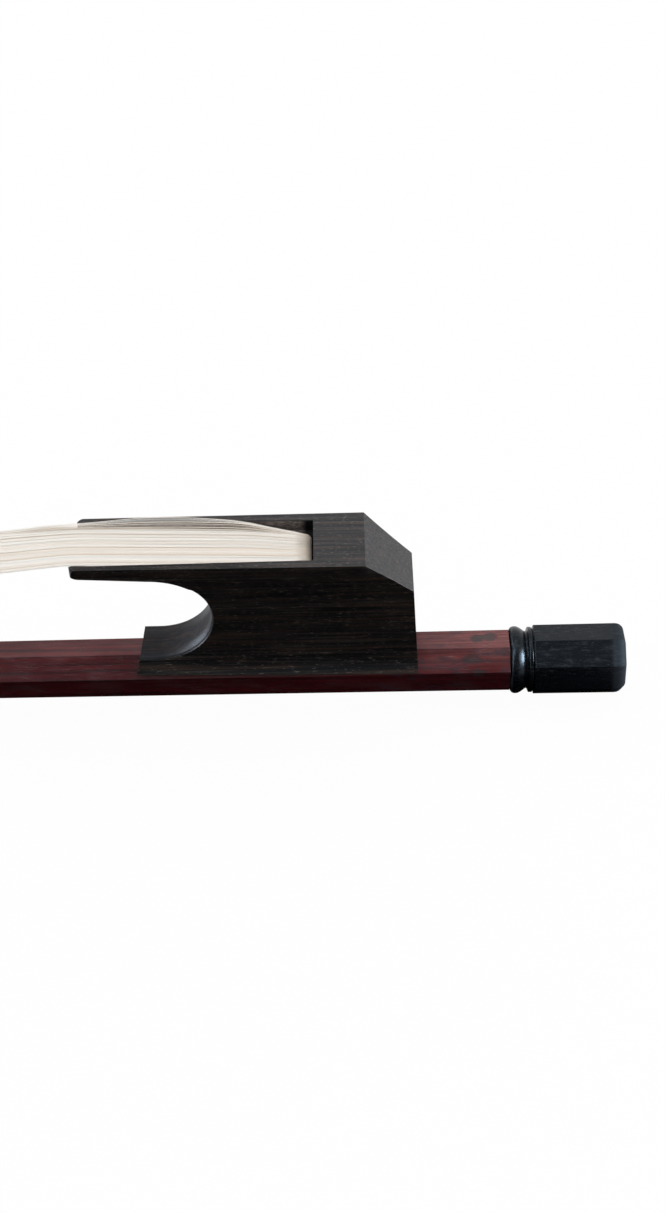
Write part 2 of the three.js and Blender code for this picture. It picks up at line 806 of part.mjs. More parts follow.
function hairStops() {
  const inFrog = new THREE.Matrix4().makeTranslation(-heelSetback, 0, 0).multiply(frogMortiseFrame);
  const inHead = headFrame().multiply(headMortiseFrame);
  const frogFold = foldPoints(frogMortise, inFrog);
  const headFold = foldPoints(headMortise, inHead).reverse();
  const legHalf = frogMortiseWidth / 2 - fit;
  const stops = frogFold.map((point, i) => {
    const half = THREE.MathUtils.lerp(knotRadius, legHalf, Math.min(i / 2, 1));
    return { point, low: -half - frogMortiseOffset, high: half - frogMortiseOffset };
  });
  const fold = stops.at(-1);
  const foldEnd = -fold.point.x - heelSetback;
  const runShares = [0.1, 0.35, 0.7, 1];
  const troughRun = [...runShares.map((share) => foldEnd + hairSpreadLength * share), frogLength];
  for (const fromHeel of troughRun) {
    const edge = troughHalfAt(fromHeel) - fit;
    const spread = Math.sqrt(Math.min((fromHeel - foldEnd) / hairSpreadLength, 1));
    const z = troughFloorAt(fromHeel) + fit + hairThickness / 2;
    stops.push({
      point: new THREE.Vector3(-heelSetback - fromHeel, 0, z),
      low: THREE.MathUtils.lerp(fold.low, -edge, Math.sqrt(spread)),
      high: THREE.MathUtils.lerp(fold.high, edge, spread),
    });
  }
  const start = stops.at(-1);
  const lip = new THREE.Vector3(-headThroatLength, 0, headTroughFloor + fit + hairThickness / 2)
    .applyMatrix4(headFrame());
  const headEdge = hairHeadWidth / 2;
  for (let i = 1; i <= spanSteps; i += 1) {
    const share = i / spanSteps;
    const point = new THREE.Vector3().lerpVectors(start.point, lip, share);
    point.z -= 4 * hairSag * share * (1 - share);
    const edge = THREE.MathUtils.lerp(start.high, headEdge, share);
    stops.push({ point, low: -edge, high: edge });
  }
  headFold.forEach((point, i) => {
    const closing = Math.min((headFold.length - 1 - i) / 2, 1);
    const edge = THREE.MathUtils.lerp(knotRadius, Math.min(headEdge, headMortiseWidth / 2 - fit), closing);
    stops.push({ point, low: -edge, high: edge });
  });
  return stops;
}

// A ribbon's section: ridges of strands along both faces.
function hairOutline(low, high) {
  const half = hairThickness / 2;
  const grooveShare = 0.72;
  const top = [];
  const bottom = [];
  for (let i = 0; i <= 2 * hairRidges; i += 1) {
    const y = THREE.MathUtils.lerp(low, high, i / (2 * hairRidges));
    const z = i % 2 ? half : half * grooveShare;
    bottom.push(new THREE.Vector2(y, -z));
    top.push(new THREE.Vector2(y, z));
  }
  return [...bottom, ...top.reverse()];
}

function hairGeometry() {
  const stops = hairStops();
  const sections = stops.map(({ point, low, high }, i) => {
    const before = stops[Math.max(i - 1, 0)].point;
    const after = stops[Math.min(i + 1, stops.length - 1)].point;
    const back = new THREE.Vector3().subVectors(before, after);
    const slope = Math.atan2(back.z, back.x);
    return { outline: hairOutline(low, high), frame: acrossFrame(point.x, point.z, slope) };
  });
  return loft(sections);
}

// Assembly

const finishes = {
  stickWood: { color: 0x5a1d16, roughness: 0.38, metalness: 0 },
  ebony: { color: 0x1c1a1a, roughness: 0.4, metalness: 0 },
  horsehair: { color: 0xd9cfbd, roughness: 0.55, metalness: 0 },
  brass: { color: 0xb08d4a, roughness: 0.35, metalness: 1 },
  steel: { color: 0x8f9296, roughness: 0.35, metalness: 1 },
  plugWood: { color: 0xc9a874, roughness: 0.7, metalness: 0 },
  thread: { color: 0xe6e1d2, roughness: 0.8, metalness: 0 },
};

function piece(name, geometry, finish) {
  geometry.computeVertexNormals();
  const mesh = new THREE.Mesh(geometry, new THREE.MeshStandardMaterial(finishes[finish]));
  mesh.name = name;
  return mesh;
}

// The three hidden pieces that hold the hair at one end.
function hairHold(end, mortise, frame) {
  const hold = new THREE.Group();
  hold.applyMatrix4(frame);
  hold.add(piece(`${end}_mortise_plug`, plugGeometry(mortise), 'plugWood'));
  hold.add(piece(`${end}_hair_knot`, knotGeometry(mortise), 'horsehair'));
  hold.add(piece(`${end}_knot_binding`, bindingGeometry(mortise), 'thread'));
  return hold;
}

const frogGroup = new THREE.Group();
frogGroup.position.x = -heelSetback;
frogGroup.add(piece('frog', frogGeometry(), 'ebony'));
frogGroup.add(hairHold('frog', frogMortise, frogMortiseFrame));
const eyelet = piece('eyelet', eyeletGeometry(), 'brass');
eyelet.position.x = eyeletX + heelSetback;
frogGroup.add(eyelet);

const adjusterGroup = new THREE.Group();
adjusterGroup.position.x = buttonStartX;
adjusterGroup.add(piece('screw', screwGeometry(), 'steel'));
adjusterGroup.add(piece('button', buttonGeometry(), 'ebony'));

const headGroup = new THREE.Group();
headGroup.applyMatrix4(headFrame());
headGroup.add(hairHold('head', headMortise, headMortiseFrame));

const handle = new THREE.Group();
handle.add(piece('stick', stickGeometry(), 'stickWood'));
handle.add(piece('hair_ribbon', hairGeometry(), 'horsehair'));
handle.add(frogGroup, adjusterGroup, headGroup);

const bow = new THREE.Group();
bow.name = 'cello_bow';
bow.add(handle);

// Every corner of the bow, in the frame of the whole.
function allCorners() {
  bow.updateMatrixWorld(true);
  const corners = [];
  bow.traverse((part) => {
    if (!part.isMesh) {
      return;
    }
    const places = part.geometry.attributes.position;
    for (let i = 0; i < places.count; i += 1) {
      corners.push(new THREE.Vector3().fromBufferAttribute(places, i).applyMatrix4(part.matrixWorld));
    }
  });
  return corners;
}

// Lays the bow down: it turns until the lowest corner of its button end and the lowest
// corner of its head end are level.
function layLevel() {
  const passes = 3;
  for (let pass = 0; pass < passes; pass += 1) {
    const corners = allCorners();
    const lowest = (group) => group.reduce((best, corner) => (corner.z < best.z ? corner : best));
    const rear = lowest(corners.filter((corner) => corner.x > -bowLength / 2));
    const front = lowest(corners.filter((corner) => corner.x <= -bowLength / 2));
    handle.rotation.y += Math.atan2(rear.z - front.z, rear.x - front.x);
  }
}

layLevel();
const reach = new THREE.Box3().setFromPoints(allCorners());
const middle = reach.getCenter(new THREE.Vector3());
handle.position.set(-middle.x, -middle.y, -reach.min.z);
bow.updateMatrixWorld(true);

export default bow;
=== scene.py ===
# %% [markdown]
# # A cello bow, seen at its frog end
#
# The bow is a stick of dense red-brown wood, a frog and a button of ebony, and a ribbon of pale
# horsehair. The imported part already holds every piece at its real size, with the frog's slide and
# the screw's turn. This script gives those pieces what a solid model leaves out: eased edges,
# single hairs, the screw's thread, grain, varnish and light.

import json
import math
import random

import bmesh
import bpy
from mathutils import Matrix, Vector


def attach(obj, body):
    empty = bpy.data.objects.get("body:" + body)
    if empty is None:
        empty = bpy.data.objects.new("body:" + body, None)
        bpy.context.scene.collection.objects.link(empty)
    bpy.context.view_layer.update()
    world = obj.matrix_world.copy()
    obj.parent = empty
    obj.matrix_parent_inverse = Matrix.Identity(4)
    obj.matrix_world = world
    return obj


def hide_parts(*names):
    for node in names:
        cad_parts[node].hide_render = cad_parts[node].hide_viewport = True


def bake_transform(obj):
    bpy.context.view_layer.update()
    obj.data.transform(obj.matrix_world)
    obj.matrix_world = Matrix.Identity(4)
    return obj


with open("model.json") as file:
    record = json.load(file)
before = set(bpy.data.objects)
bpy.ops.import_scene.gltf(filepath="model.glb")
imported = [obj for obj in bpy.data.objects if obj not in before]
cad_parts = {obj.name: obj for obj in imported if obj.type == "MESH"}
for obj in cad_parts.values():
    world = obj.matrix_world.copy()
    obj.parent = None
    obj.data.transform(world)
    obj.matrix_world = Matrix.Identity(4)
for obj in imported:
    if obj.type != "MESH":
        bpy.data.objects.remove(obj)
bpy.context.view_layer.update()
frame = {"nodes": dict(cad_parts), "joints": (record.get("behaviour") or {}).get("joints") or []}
nodes = frame["nodes"]
joints = {joint["name"]: joint for joint in frame["joints"]}

# %% [markdown]
# ## A ruler along the stick
#
# A bow maker measures everything from the butt of the stick, along its axis. The same ruler is
# set up here in millimetres: X along the handle towards the button, Y across the bow, and Z
# towards the hair. The frog slides along X and the screw turns about it, so the joints give it.

# %% The handle's frame
MM = 0.001
ALONG = Vector(joints["frog_slide"]["axis"]).normalized()
ACROSS = Vector((0, 1, 0))
HANDLE = Matrix((ALONG, ACROSS, ALONG.cross(ACROSS))).transposed().to_4x4()
HANDLE.translation = Vector(joints["screw_turn"]["pos_m"])
TO_HANDLE = HANDLE.inverted()


def at(x, y, z):
    """A place on the ruler, as a point in the part's own frame."""
    return HANDLE @ (Vector((x, y, z)) * MM)


def reach_of(node):
    """Lowest and highest corner of a piece on the ruler."""
    places = [TO_HANDLE @ vertex.co / MM for vertex in nodes[node].data.vertices]
    low = Vector([min(place[i] for place in places) for i in range(3)])
    high = Vector([max(place[i] for place in places) for i in range(3)])
    return low, high


FROG_LOW, FROG_HIGH = reach_of("frog")
FACE = FROG_HIGH.z
TONGUE_FRONT = FROG_LOW.x
print("frog on the ruler:", FROG_LOW[:], FROG_HIGH[:])

# %% [markdown]
# ## Writing materials as sums
#
# Every finish below is made of masks: where pores lie, where varnish is worn, where dust sits.
# Masks read best as plain arithmetic, so one small class wraps a node's output and gives it the
# usual operators, and another holds the few kinds of node that the finishes share.


# %% Shader helpers
class Signal:
    """One output of a node, with the arithmetic of shader nodes behind its operators."""

    def __init__(self, shader, socket):
        self.shader = shader
        self.socket = socket

    def math(self, operation, *others):
        inputs = dict(enumerate([self, *others]))
        return self.shader.node("Math", {"operation": operation}, inputs)

    def __add__(self, other):
        return self.math("ADD", other)

    def __radd__(self, other):
        return self + other

    def __sub__(self, other):
        return self.math("SUBTRACT", other)

    def __rsub__(self, other):
        return self * -1 + other

    def __mul__(self, other):
        return self.math("MULTIPLY", other)

    def __rmul__(self, other):
        return self * other

    def __truediv__(self, other):
        return self.math("DIVIDE", other)

    def __pow__(self, other):
        return self.math("POWER", other)

    def size(self):
        return self.math("ABSOLUTE")

    def at_least(self, low):
        return self.math("MAXIMUM", low)

    def at_most(self, high):
        return self.math("MINIMUM", high)

    def ramp(self, start, end):
        """0 below start and 1 above end, with a soft turn at both; start may be the higher."""
        settings = {"interpolation_type": "SMOOTHSTEP"}
        return self.shader.node("MapRange", settings, {0: self, 1: start, 2: end})


class Shader:
    """A material's nodes."""

    def __init__(self, owner):
        owner.use_nodes = True
        self.owner = owner
        self.tree = owner.node_tree
        self.tree.nodes.clear()

    def node(self, kind, settings, inputs, output=0):
        """A node of this kind, with its settings made first, then its inputs."""
        made = self.tree.nodes.new("ShaderNode" + kind)
        for name, value in settings.items():
            setattr(made, name, value)
        for name, value in inputs.items():
            if isinstance(value, Signal):
                self.tree.links.new(value.socket, made.inputs[name])
            else:
                made.inputs[name].default_value = value
        return Signal(self, made.outputs[output])

    def mix(self, share, first, second):
        """From the first colour to the second; a colour is three numbers or a signal."""
        rgba = [c if isinstance(c, Signal) else (*c, 1) for c in (first, second)]
        inputs = {0: share, 6: rgba[0], 7: rgba[1]}
        return self.node("Mix", {"data_type": "RGBA"}, inputs, 2)

    def ruler(self):
        """X, Y and Z on the ruler, in millimetres, at rest."""
        place = self.node("TexCoord", {}, {}, "Object")
        inputs = {
            "Vector": place,
            "Location": HANDLE.translation,
            "Rotation": HANDLE.to_euler(),
            "Scale": (MM, MM, MM),
        }
        turned = self.node("Mapping", {"vector_type": "TEXTURE"}, inputs)
        return [self.node("SeparateXYZ", {}, {0: turned}, i) for i in range(3)]

    def join(self, x, y, z):
        return self.node("CombineXYZ", {}, {0: x, 1: y, 2: z})

    def noise(self, place, detail=2.0, roughness=0.5, distortion=0.0):
        inputs = {
            "Vector": place,
            "Scale": 1.0,
            "Detail": detail,
            "Roughness": roughness,
            "Distortion": distortion,
        }
        return self.node("TexNoise", {}, inputs, "Fac")

    def bump(self, height, distance, over=None):
        """A normal from a height; distance is the height of 1, in millimetres, on top of over."""
        inputs = {"Height": height, "Distance": distance * MM, "Strength": 1.0}
        if over is not None:
            inputs["Normal"] = over
        return self.node("Bump", {}, inputs)

    def surface(self, **inputs):
        """The principled shader, with its names' underscores standing for spaces."""
        named = {name.replace("_", " "): value for name, value in inputs.items()}
        for name, value in named.items():
            if isinstance(value, tuple):
                named[name] = (*value, 1)
        return self.node("BsdfPrincipled", {}, named)

    def finish(self, signal, kind="OutputMaterial"):
        end = self.tree.nodes.new("ShaderNode" + kind)
        self.tree.links.new(signal.socket, end.inputs["Surface"])


def new_material(name):
    return Shader(bpy.data.materials.new(name))


def give(obj, shader):
    """Puts a material on a piece in place of what it came with."""
    obj.data.materials.clear()
    obj.data.materials.append(shader.owner)


print("shader helpers ready")

# %% [markdown]
# ## Easing the edges
#
# A maker leaves no knife edge on a bow: facets and rims are broken with a scraper or fine paper,
# by a little over a tenth of a millimetre. That narrow strip catches the light and draws the
# form. A bump could only shade it, so it is cut here in real geometry, with a bevel. The throat's
# rim is rounder than the rest, and the lip that the hair leaves the head over stays crisp. Curved
# faces are shaded as curves and flat ones stay flat.


# %% Finished copies of the solid pieces
SHARP = math.radians(22)
FLAT = math.radians(0.8)
SAME_PLANE = math.radians(0.5)
WELD = 0.1
EASE_STEPS = 2
RIM_STEPS = 5


def sharp_edges(bm):
    return [edge for edge in bm.edges if edge.is_manifold and edge.calc_face_angle() > SHARP]


def middle_of(edge):
    return TO_HANDLE @ ((edge.verts[0].co + edge.verts[1].co) / 2) / MM


def rounded(bm, edges, width, segments, clamp):
    """Rounds these edges and gives the strips of faces that it made."""
    cut = bmesh.ops.bevel(
        bm,
        geom=edges,
        offset=width * MM,
        offset_type="OFFSET",
        affect="EDGES",
        segments=segments,
        profile=0.5,
        clamp_overlap=clamp,
    )
    return set(cut["faces"])


def eased(node, name, body, width, softer=None, left=None):
    """A copy of a solid with its sharp edges eased by width, in millimetres.

    Where softer is given, it is a test of an edge's place on the ruler and a width, and the
    edges that pass are rounded by that width first. Edges that pass left, a test too, stay sharp.
    """
    mesh = bpy.data.meshes.new(name)
    bm = bmesh.new()
    bm.from_mesh(nodes[node].data)
    bmesh.ops.remove_doubles(bm, verts=bm.verts, dist=WELD * MM)
    bmesh.ops.dissolve_limit(bm, angle_limit=SAME_PLANE, verts=bm.verts, edges=bm.edges)
    sharp = [edge for edge in sharp_edges(bm) if not (left and left(*middle_of(edge)))]
    count = len(sharp)
    strips = set()
    if softer:
        test, round_width = softer
        rims = [edge for edge in sharp if test(*middle_of(edge))]
        strips |= rounded(bm, rims, round_width, RIM_STEPS, False)
        sharp = [edge for edge in sharp_edges(bm) if not any(f in strips for f in edge.link_faces)]
    strips = {face for face in strips if face.is_valid} | rounded(bm, sharp, width, EASE_STEPS, True)
    for face in bm.faces:
        face.smooth = face in strips or any(
            edge.is_manifold and FLAT < edge.calc_face_angle() < SHARP for edge in face.edges
        )
    for edge in bm.edges:
        sides = [face in strips for face in edge.link_faces]
        gentle = sides == [False, False] and edge.calc_face_angle() < SHARP
        edge.smooth = gentle or sides == [True, True]
    bm.to_mesh(mesh)
    bm.free()
    obj = bpy.data.objects.new(name, mesh)
    bpy.context.scene.collection.objects.link(obj)
    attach(obj, body)
    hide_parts(node)
    print(name, len(mesh.polygons), "faces,", count, "edges eased")
    return obj


# %% Stick, frog and button
STICK_EASE = 0.15
EBONY_EASE = 0.13
RIM_EASE = 0.4
LIP_FRONT = -678
LIP_BACK = -671
LIP_LOWEST = -18
THROAT_FRONT = -61.2
THROAT_BACK = -44
THROAT_LOWEST = 5.6
THROAT_HIGHEST = 22
RIM_INNER = 3


def head_lip_edge(x, y, z):
    """The crisp lip that the hair leaves the head over."""
    return LIP_FRONT < x < LIP_BACK and z > LIP_LOWEST


def throat_rim(x, y, z):
    """The long edge where the throat meets the frog's side."""
    in_reach = THROAT_FRONT < x < THROAT_BACK and THROAT_LOWEST < z < THROAT_HIGHEST
    return in_reach and abs(y) > RIM_INNER


stick = eased("stick", "stick_finished", "stick", STICK_EASE, left=head_lip_edge)
frog = eased("frog", "frog_finished", "frog", EBONY_EASE, (throat_rim, RIM_EASE))
button = eased("button", "button_finished", "adjuster", EBONY_EASE)

# %% [markdown]
# ## The stick's wood
#
# The stick is a dense tropical wood, planed to eight facets and stained a dark wine red under a
# thin varnish. Its fibres run along the stick and follow its camber, so the grain is measured
# from the bent axis. Long fibre streaks, short dark pores and slow cloudy wear are three noises
# on that one set of coordinates, stretched more or less along the grain. Towards the butt the
# colour has worn thin on the facets nearer the hair, and dark stains lie on them. Masks along X
# and Z put both in their places, because a noise alone would scatter them over the whole stick.
# The lower facets, away from the hair, are also mixed towards a darker red: painted shade.

# %% Stick wood
HANDLE_LENGTH = 90
CAMBER_DROP = 30
CAMBER_SPAN = 571.3
STAIN_DARK = (0.032, 0.001, 0.0025)
STAIN_LIGHT = (0.14, 0.009, 0.013)
LOW_FACET_SHADE = (0.01, 0.0003, 0.0008)
BARE_DARK = (0.15, 0.035, 0.04)
BARE_LIGHT = (0.31, 0.1, 0.092)
PORE = (0.02, 0.004, 0.004)
BLOTCH = (0.035, 0.015, 0.024)
RUB = (0.5, 0.3, 0.26)
SPOT = (0.034, 0.024, 0.026)


def along_the_grain(shader):
    """X, Y and Z on the ruler, with the stick's camber taken out of Z."""
    x, y, z = shader.ruler()
    run = (x * -1 - HANDLE_LENGTH).at_least(0)
    return x, y, z + (run / CAMBER_SPAN) ** 2 * CAMBER_DROP


wood = new_material("stick_wood")
x, y, z = along_the_grain(wood)
streaks = wood.noise(wood.join(x / 26, y / 0.5, z / 0.5), detail=5, roughness=0.6)
pores = wood.noise(wood.join(x / 2.2, y / 0.16, z / 0.16), detail=2).ramp(0.6, 0.72)
clouds = wood.noise(wood.join(x / 7, y / 2.2, z / 2.2), detail=3, roughness=0.6).ramp(0.42, 0.66)
worn = (x.ramp(-22, -4) * 0.76 + clouds * 0.25) * z.ramp(2, 6.2)
deep = wood.mix(streaks.ramp(0.3, 0.68), STAIN_DARK, STAIN_LIGHT)
bare = wood.mix(streaks.ramp(0.3, 0.7), BARE_DARK, BARE_LIGHT)
# Painted shade: the lower facets, away from the hair, mix towards a darker red.
deep = wood.mix(z.ramp(2.4, 1.4) * 0.45, deep, LOW_FACET_SHADE)
colour = wood.mix(worn, deep, bare)
colour = wood.mix(pores * 0.6, colour, PORE)
blotches = wood.noise(wood.join(x / 4, y / 1.1, z / 1.1), detail=5, roughness=0.65).ramp(0.5, 0.62)
colour = wood.mix(blotches * x.ramp(-30, -16) * z.ramp(5.6, 4.6) * 0.7, colour, BLOTCH)
rubs = wood.noise(wood.join(x / 3, y / 0.14, z / 0.6), detail=2).ramp(0.66, 0.74)
colour = wood.mix(rubs * x.ramp(-24, -14) * z.ramp(2, 4) * 0.3, colour, RUB)
print("stick grain, wear and blotches mixed")

# %% Stains near the butt
ragged = wood.noise(wood.join(x / 0.7, y / 0.35, z / 0.35), detail=4, roughness=0.7) - 0.5
for spot_x, spot_y, long, wide, share in (
    (-5.3, 0.1, 1.3, 1.0, 0.85),
    (-3.2, 0.45, 1.4, 1.0, 0.8),
    (-6.3, -3.3, 1.7, 0.6, 0.6),
    (-5.4, -4.9, 1.0, 0.35, 0.7),
):
    ring_x = (x - spot_x) / long
    ring_y = (y - spot_y) / wide
    spot = (ring_x * ring_x + ring_y * ring_y + ragged * 2.2).ramp(1.2, 0.4) * z.ramp(1, 1.5)
    colour = wood.mix(spot * share, colour, SPOT)
roughness = 0.3 + clouds * 0.12 + pores * 0.15
ridges = streaks * 0.6 + pores * -0.8
wood.finish(
    wood.surface(
        Base_Color=colour,
        Roughness=roughness,
        Normal=wood.bump(ridges, 0.02),
        Specular_IOR_Level=0.36,
    )
)
give(stick, wood)
print("stick wood on", stick.name)

# %% [markdown]
# ## The frog's ebony
#
# The frog is sawn from one block of ebony with the grain along it, then scraped and oiled. It is
# not quite black: thin brown streaks run through it, and its fine pores hold pale dust. Brushing
# rosin leaves the trough dusty and dull. The eased strips along the upper edges, most of all by
# the heel, turn light grey: partly worn by handling, partly a painted highlight. The throat's
# inside is mixed towards a bluish black, painted shade with the cool tint of a painted
# reflection, and the well at the trough's back goes near black, painted shade too. Each of these
# is a mask from place or from the way a face looks. A gloss and a matt shader are mixed, because
# dust and wear change the shine as well as the colour. The throat's wall is straight across in
# the solid; the flare towards its rims is a bump here, so it is shading and not form.

# %% Ebony of the frog
TROUGH_BACK = -32.2
TROUGH_HALF = 5.4
DULL_FOOT = -52
FLARE_START = 1.2
FLARE_END = 4.3
FLARE_DEPTH = 1.3
GRAIN_DEPTH = 0.012
BLACK = (0.001, 0.001, 0.0018)
FIBRE = (0.062, 0.048, 0.04)
STREAK = (0.07, 0.036, 0.022)
FLECK = (0.3, 0.24, 0.19)
THROAT_PAINTED_SHADE = (0.012, 0.012, 0.017)
THROAT_BROWN = (0.05, 0.03, 0.022)
RUBBED_AND_HIGHLIT = (0.45, 0.42, 0.39)
ROSIN_DUST = (0.32, 0.275, 0.25)
WELL_SHADE = (0.002, 0.0018, 0.0016)

ebony = new_material("ebony_frog")
x, y, z = ebony.ruler()
fibres = ebony.noise(ebony.join(x / 16, y / 0.32, z / 0.32), detail=6, roughness=0.7)
brown = ebony.noise(ebony.join(x / 20, y / 0.8, z / 0.8), detail=3).ramp(0.5, 0.7)
flecks = ebony.noise(ebony.join(x / 1.2, y / 0.1, z / 0.1), detail=1).ramp(0.66, 0.74)
specks = ebony.noise(ebony.join(x / 0.25, y / 0.25, z / 0.25), detail=3, roughness=0.7)
in_trough = z.ramp(FACE - 0.12, FACE - 0.2) * z.ramp(FACE - 3.3, FACE - 3)
in_trough = in_trough * x.ramp(TROUGH_BACK + 0.25, TROUGH_BACK + 0.1)
in_trough = in_trough * y.size().ramp(TROUGH_HALF + 0.1, TROUGH_HALF)
in_trough = in_trough * x.ramp(TROUGH_BACK - 1, TROUGH_BACK - 2.4)
print("ebony grain and trough mask ready")

# %% Colour of the frog
colour = ebony.mix(fibres.ramp(0.42, 0.74), BLACK, FIBRE)
colour = ebony.mix(brown * 0.5, colour, STREAK)
in_throat = x.ramp(-63, -61.5) * x.ramp(-45, -46.5) * z.ramp(5.3, 5.7) * z.ramp(21.5, 20.5)
normal = ebony.node("TexCoord", {}, {}, "Normal")
sideways = ebony.node("SeparateXYZ", {}, {0: normal}, 1).size()
inside = in_throat * y.size().ramp(4.5, 4.1) * sideways.ramp(0.8, 0.6)
colour = ebony.mix(flecks * (1 - inside) * 0.6, colour, FLECK)
patches = ebony.noise(ebony.join(x / 3, y / 1.2, z / 0.8), detail=4, roughness=0.6).ramp(0.44, 0.72)
# Painted shade with the cool tint of a painted reflection: the throat's inside mixes towards a bluish
# black.
colour = ebony.mix(inside * 0.6, colour, THROAT_PAINTED_SHADE)
colour = ebony.mix(inside * patches * 0.4, colour, THROAT_BROWN)
powder = ebony.noise(ebony.join(x / 1.1, y / 0.2, z / 0.2), detail=5, roughness=0.75)
dust = powder.ramp(0.4, 0.66) * 0.8 + 0.2
# The eased strips along the upper edges, most of all by the heel, turn light grey: partly wear from
# handling, partly a painted highlight.
rubbed_and_highlit = sideways.ramp(0.15, 0.35) * sideways.ramp(0.98, 0.9) * z.ramp(12, 14)
rubbed_and_highlit = rubbed_and_highlit * (x.ramp(-25, -23) * 0.75 + 0.1)
colour = ebony.mix(rubbed_and_highlit * (specks.ramp(0.3, 0.6) * 0.5 + 0.5), colour, RUBBED_AND_HIGHLIT)
colour = ebony.mix(in_trough * dust, colour, ROSIN_DUST)
# Painted shade: the well at the trough's back, where the hair goes down, is mixed to near black.
well = x.ramp(TROUGH_BACK - 1.6, TROUGH_BACK - 0.8) * x.ramp(TROUGH_BACK + 0.25, TROUGH_BACK + 0.1)
well = well * z.ramp(FACE - 0.12, FACE - 0.2) * z.ramp(FACE - 6.3, FACE - 6)
well_half = z.ramp(FACE - 3, FACE - 2.6) + TROUGH_HALF - 1
well = well * (y.size() - well_half).ramp(0.1, 0)
colour = ebony.mix(well, colour, WELL_SHADE)
print("ebony colours mixed")

# %% Shine of the frog
foot = x.ramp(DULL_FOOT + 4, DULL_FOOT - 4) * z.ramp(15, 12)
mottled = specks.ramp(0.5, 0.68) * 0.4
near_wall = y.ramp(-4.3, -5) * z.ramp(FACE - 1, FACE - 0.3) * x.ramp(-34, -48)
rim = y.size().ramp(0.5, 2.8)
dull = in_trough + well + foot * 0.85 + mottled + near_wall * 0.8 + inside * (1 - rim) * 0.85
dull = dull.at_most(1)
flare = ((y.size() - FLARE_START) / (FLARE_END - FLARE_START)).at_least(0) ** 2
flare = flare * in_throat * sideways.ramp(0.97, 0.6)
flared = ebony.bump(flare * -1, FLARE_DEPTH)
grain = ebony.bump(fibres * 0.5 - flecks, GRAIN_DEPTH, over=flared)
gloss = ebony.surface(
    Base_Color=colour,
    Roughness=0.26 + fibres * 0.1 + inside * 0.14,
    Normal=grain,
    Specular_IOR_Level=0.44,
    Specular_Tint=(0.88, 0.93, 1.0),
)
matt = ebony.surface(Base_Color=colour, Roughness=0.6, Normal=grain, Specular_IOR_Level=0.12)
ebony.finish(ebony.node("MixShader", {}, {0: dull, 1: gloss, 2: matt}))
give(frog, ebony)
print("ebony on", frog.name)

# %% [markdown]
# ## The button's ebony
#
# The button is the piece that fingers polish. It is turned and planed from blacker ebony than
# the frog, so it gets a closer grain, a smoother surface and the fine scratches of handling. Its
# rounded end and the bead's front edge are duller, by a roughness that rises at both ends.

# %% Ebony of the button
jet = new_material("ebony_button")
x, y, z = jet.ruler()
streaks = jet.noise(jet.join(x / 9, y / 0.4, z / 0.4), detail=4)
scratches = jet.noise(jet.join(x / 0.9, y / 0.12, z / 0.5), detail=2, distortion=0.6)
scratches = scratches.ramp(0.66, 0.78) * x.ramp(3.6, 4.4)
colour = jet.mix(streaks, (0.0006, 0.0008, 0.0015), (0.005, 0.0062, 0.0085))
touched = z.ramp(0, 3)
colour = jet.mix(scratches * touched * 0.6, colour, (0.12, 0.12, 0.13))
handled = jet.noise(jet.join(x / 2.2, y / 0.5, z / 0.5), detail=6, roughness=0.8).ramp(0.48, 0.7)
colour = jet.mix(handled * touched * z.ramp(6, 5.4) * 0.6, colour, (0.055, 0.058, 0.068))
worn_end = x.ramp(16.5, 18) + x.ramp(0.6, 0.3)
jet.finish(
    jet.surface(
        Base_Color=colour,
        Roughness=0.24 + scratches * 0.2 + streaks * 0.06 + worn_end * 0.45,
        Normal=jet.bump(streaks * 0.4 - scratches, 0.008),
        Specular_IOR_Level=0.19,
        Specular_Tint=(0.7, 0.85, 1.0),
    )
)
give(button, jet)
print("ebony on", button.name)

# %% [markdown]
# ## The path of the hair
#
# A hank of horsehair is tied and sealed at both ends. At the frog its knot lies at the bottom of
# a mortise; the hair comes up beside a wooden plug, folds over the plug's edge, spreads to a flat
# ribbon along the trough and leaves over the tongue. At the head it folds into the other mortise.
# The plugs fix both folds, so each plug's own box gives the places here.

# %% Hair path
HAIR_GAP = 0.7
LEG_GAP = 1.0
FOLD_RADIUS = 1.1
LEG_DEPTH = 5.5
SPREAD_LENGTH = 9
SAG = 3.7
HEAD_LIP = 6.7
LIP_DEPTH = 0.4
BEND = 0.12
KNOT_HALF = 1.2
FROG_FOLD_HALF = 3.5
HEAD_FOLD_HALF = 3.0
FOLD_STEPS = 6
FOLD_THICK = 0.3


def plug_frame(node, outward):
    """The middle of a plug's hair-side edge on the ruler, the way in along it, and its top's normal."""
    mesh = nodes[node].data
    tops = [f for f in mesh.polygons if (TO_HANDLE.to_3x3() @ f.normal).z > 0.97]
    top = max(tops, key=lambda face: face.area)
    normal = (TO_HANDLE.to_3x3() @ top.normal).normalized()
    inward = Vector((normal.z, 0, -normal.x)) * -outward
    places = [TO_HANDLE @ vertex.co / MM for vertex in mesh.vertices]
    start = min(place.dot(inward) for place in places)
    height = max(place.dot(normal) for place in places)
    middle = sum(place.y for place in places) / len(places)
    return inward * start + normal * height, inward, normal, middle


def station(place, low, high, thick, veil=0.0, lift=0.0):
    return {"place": place, "low": low, "high": high, "thick": thick, "veil": veil, "lift": lift}


def smooth(value, start, end):
    """0 before start and 1 after end, with a soft turn at both."""
    share = min(max((value - start) / (end - start), 0), 1)
    return share * share * (3 - 2 * share)


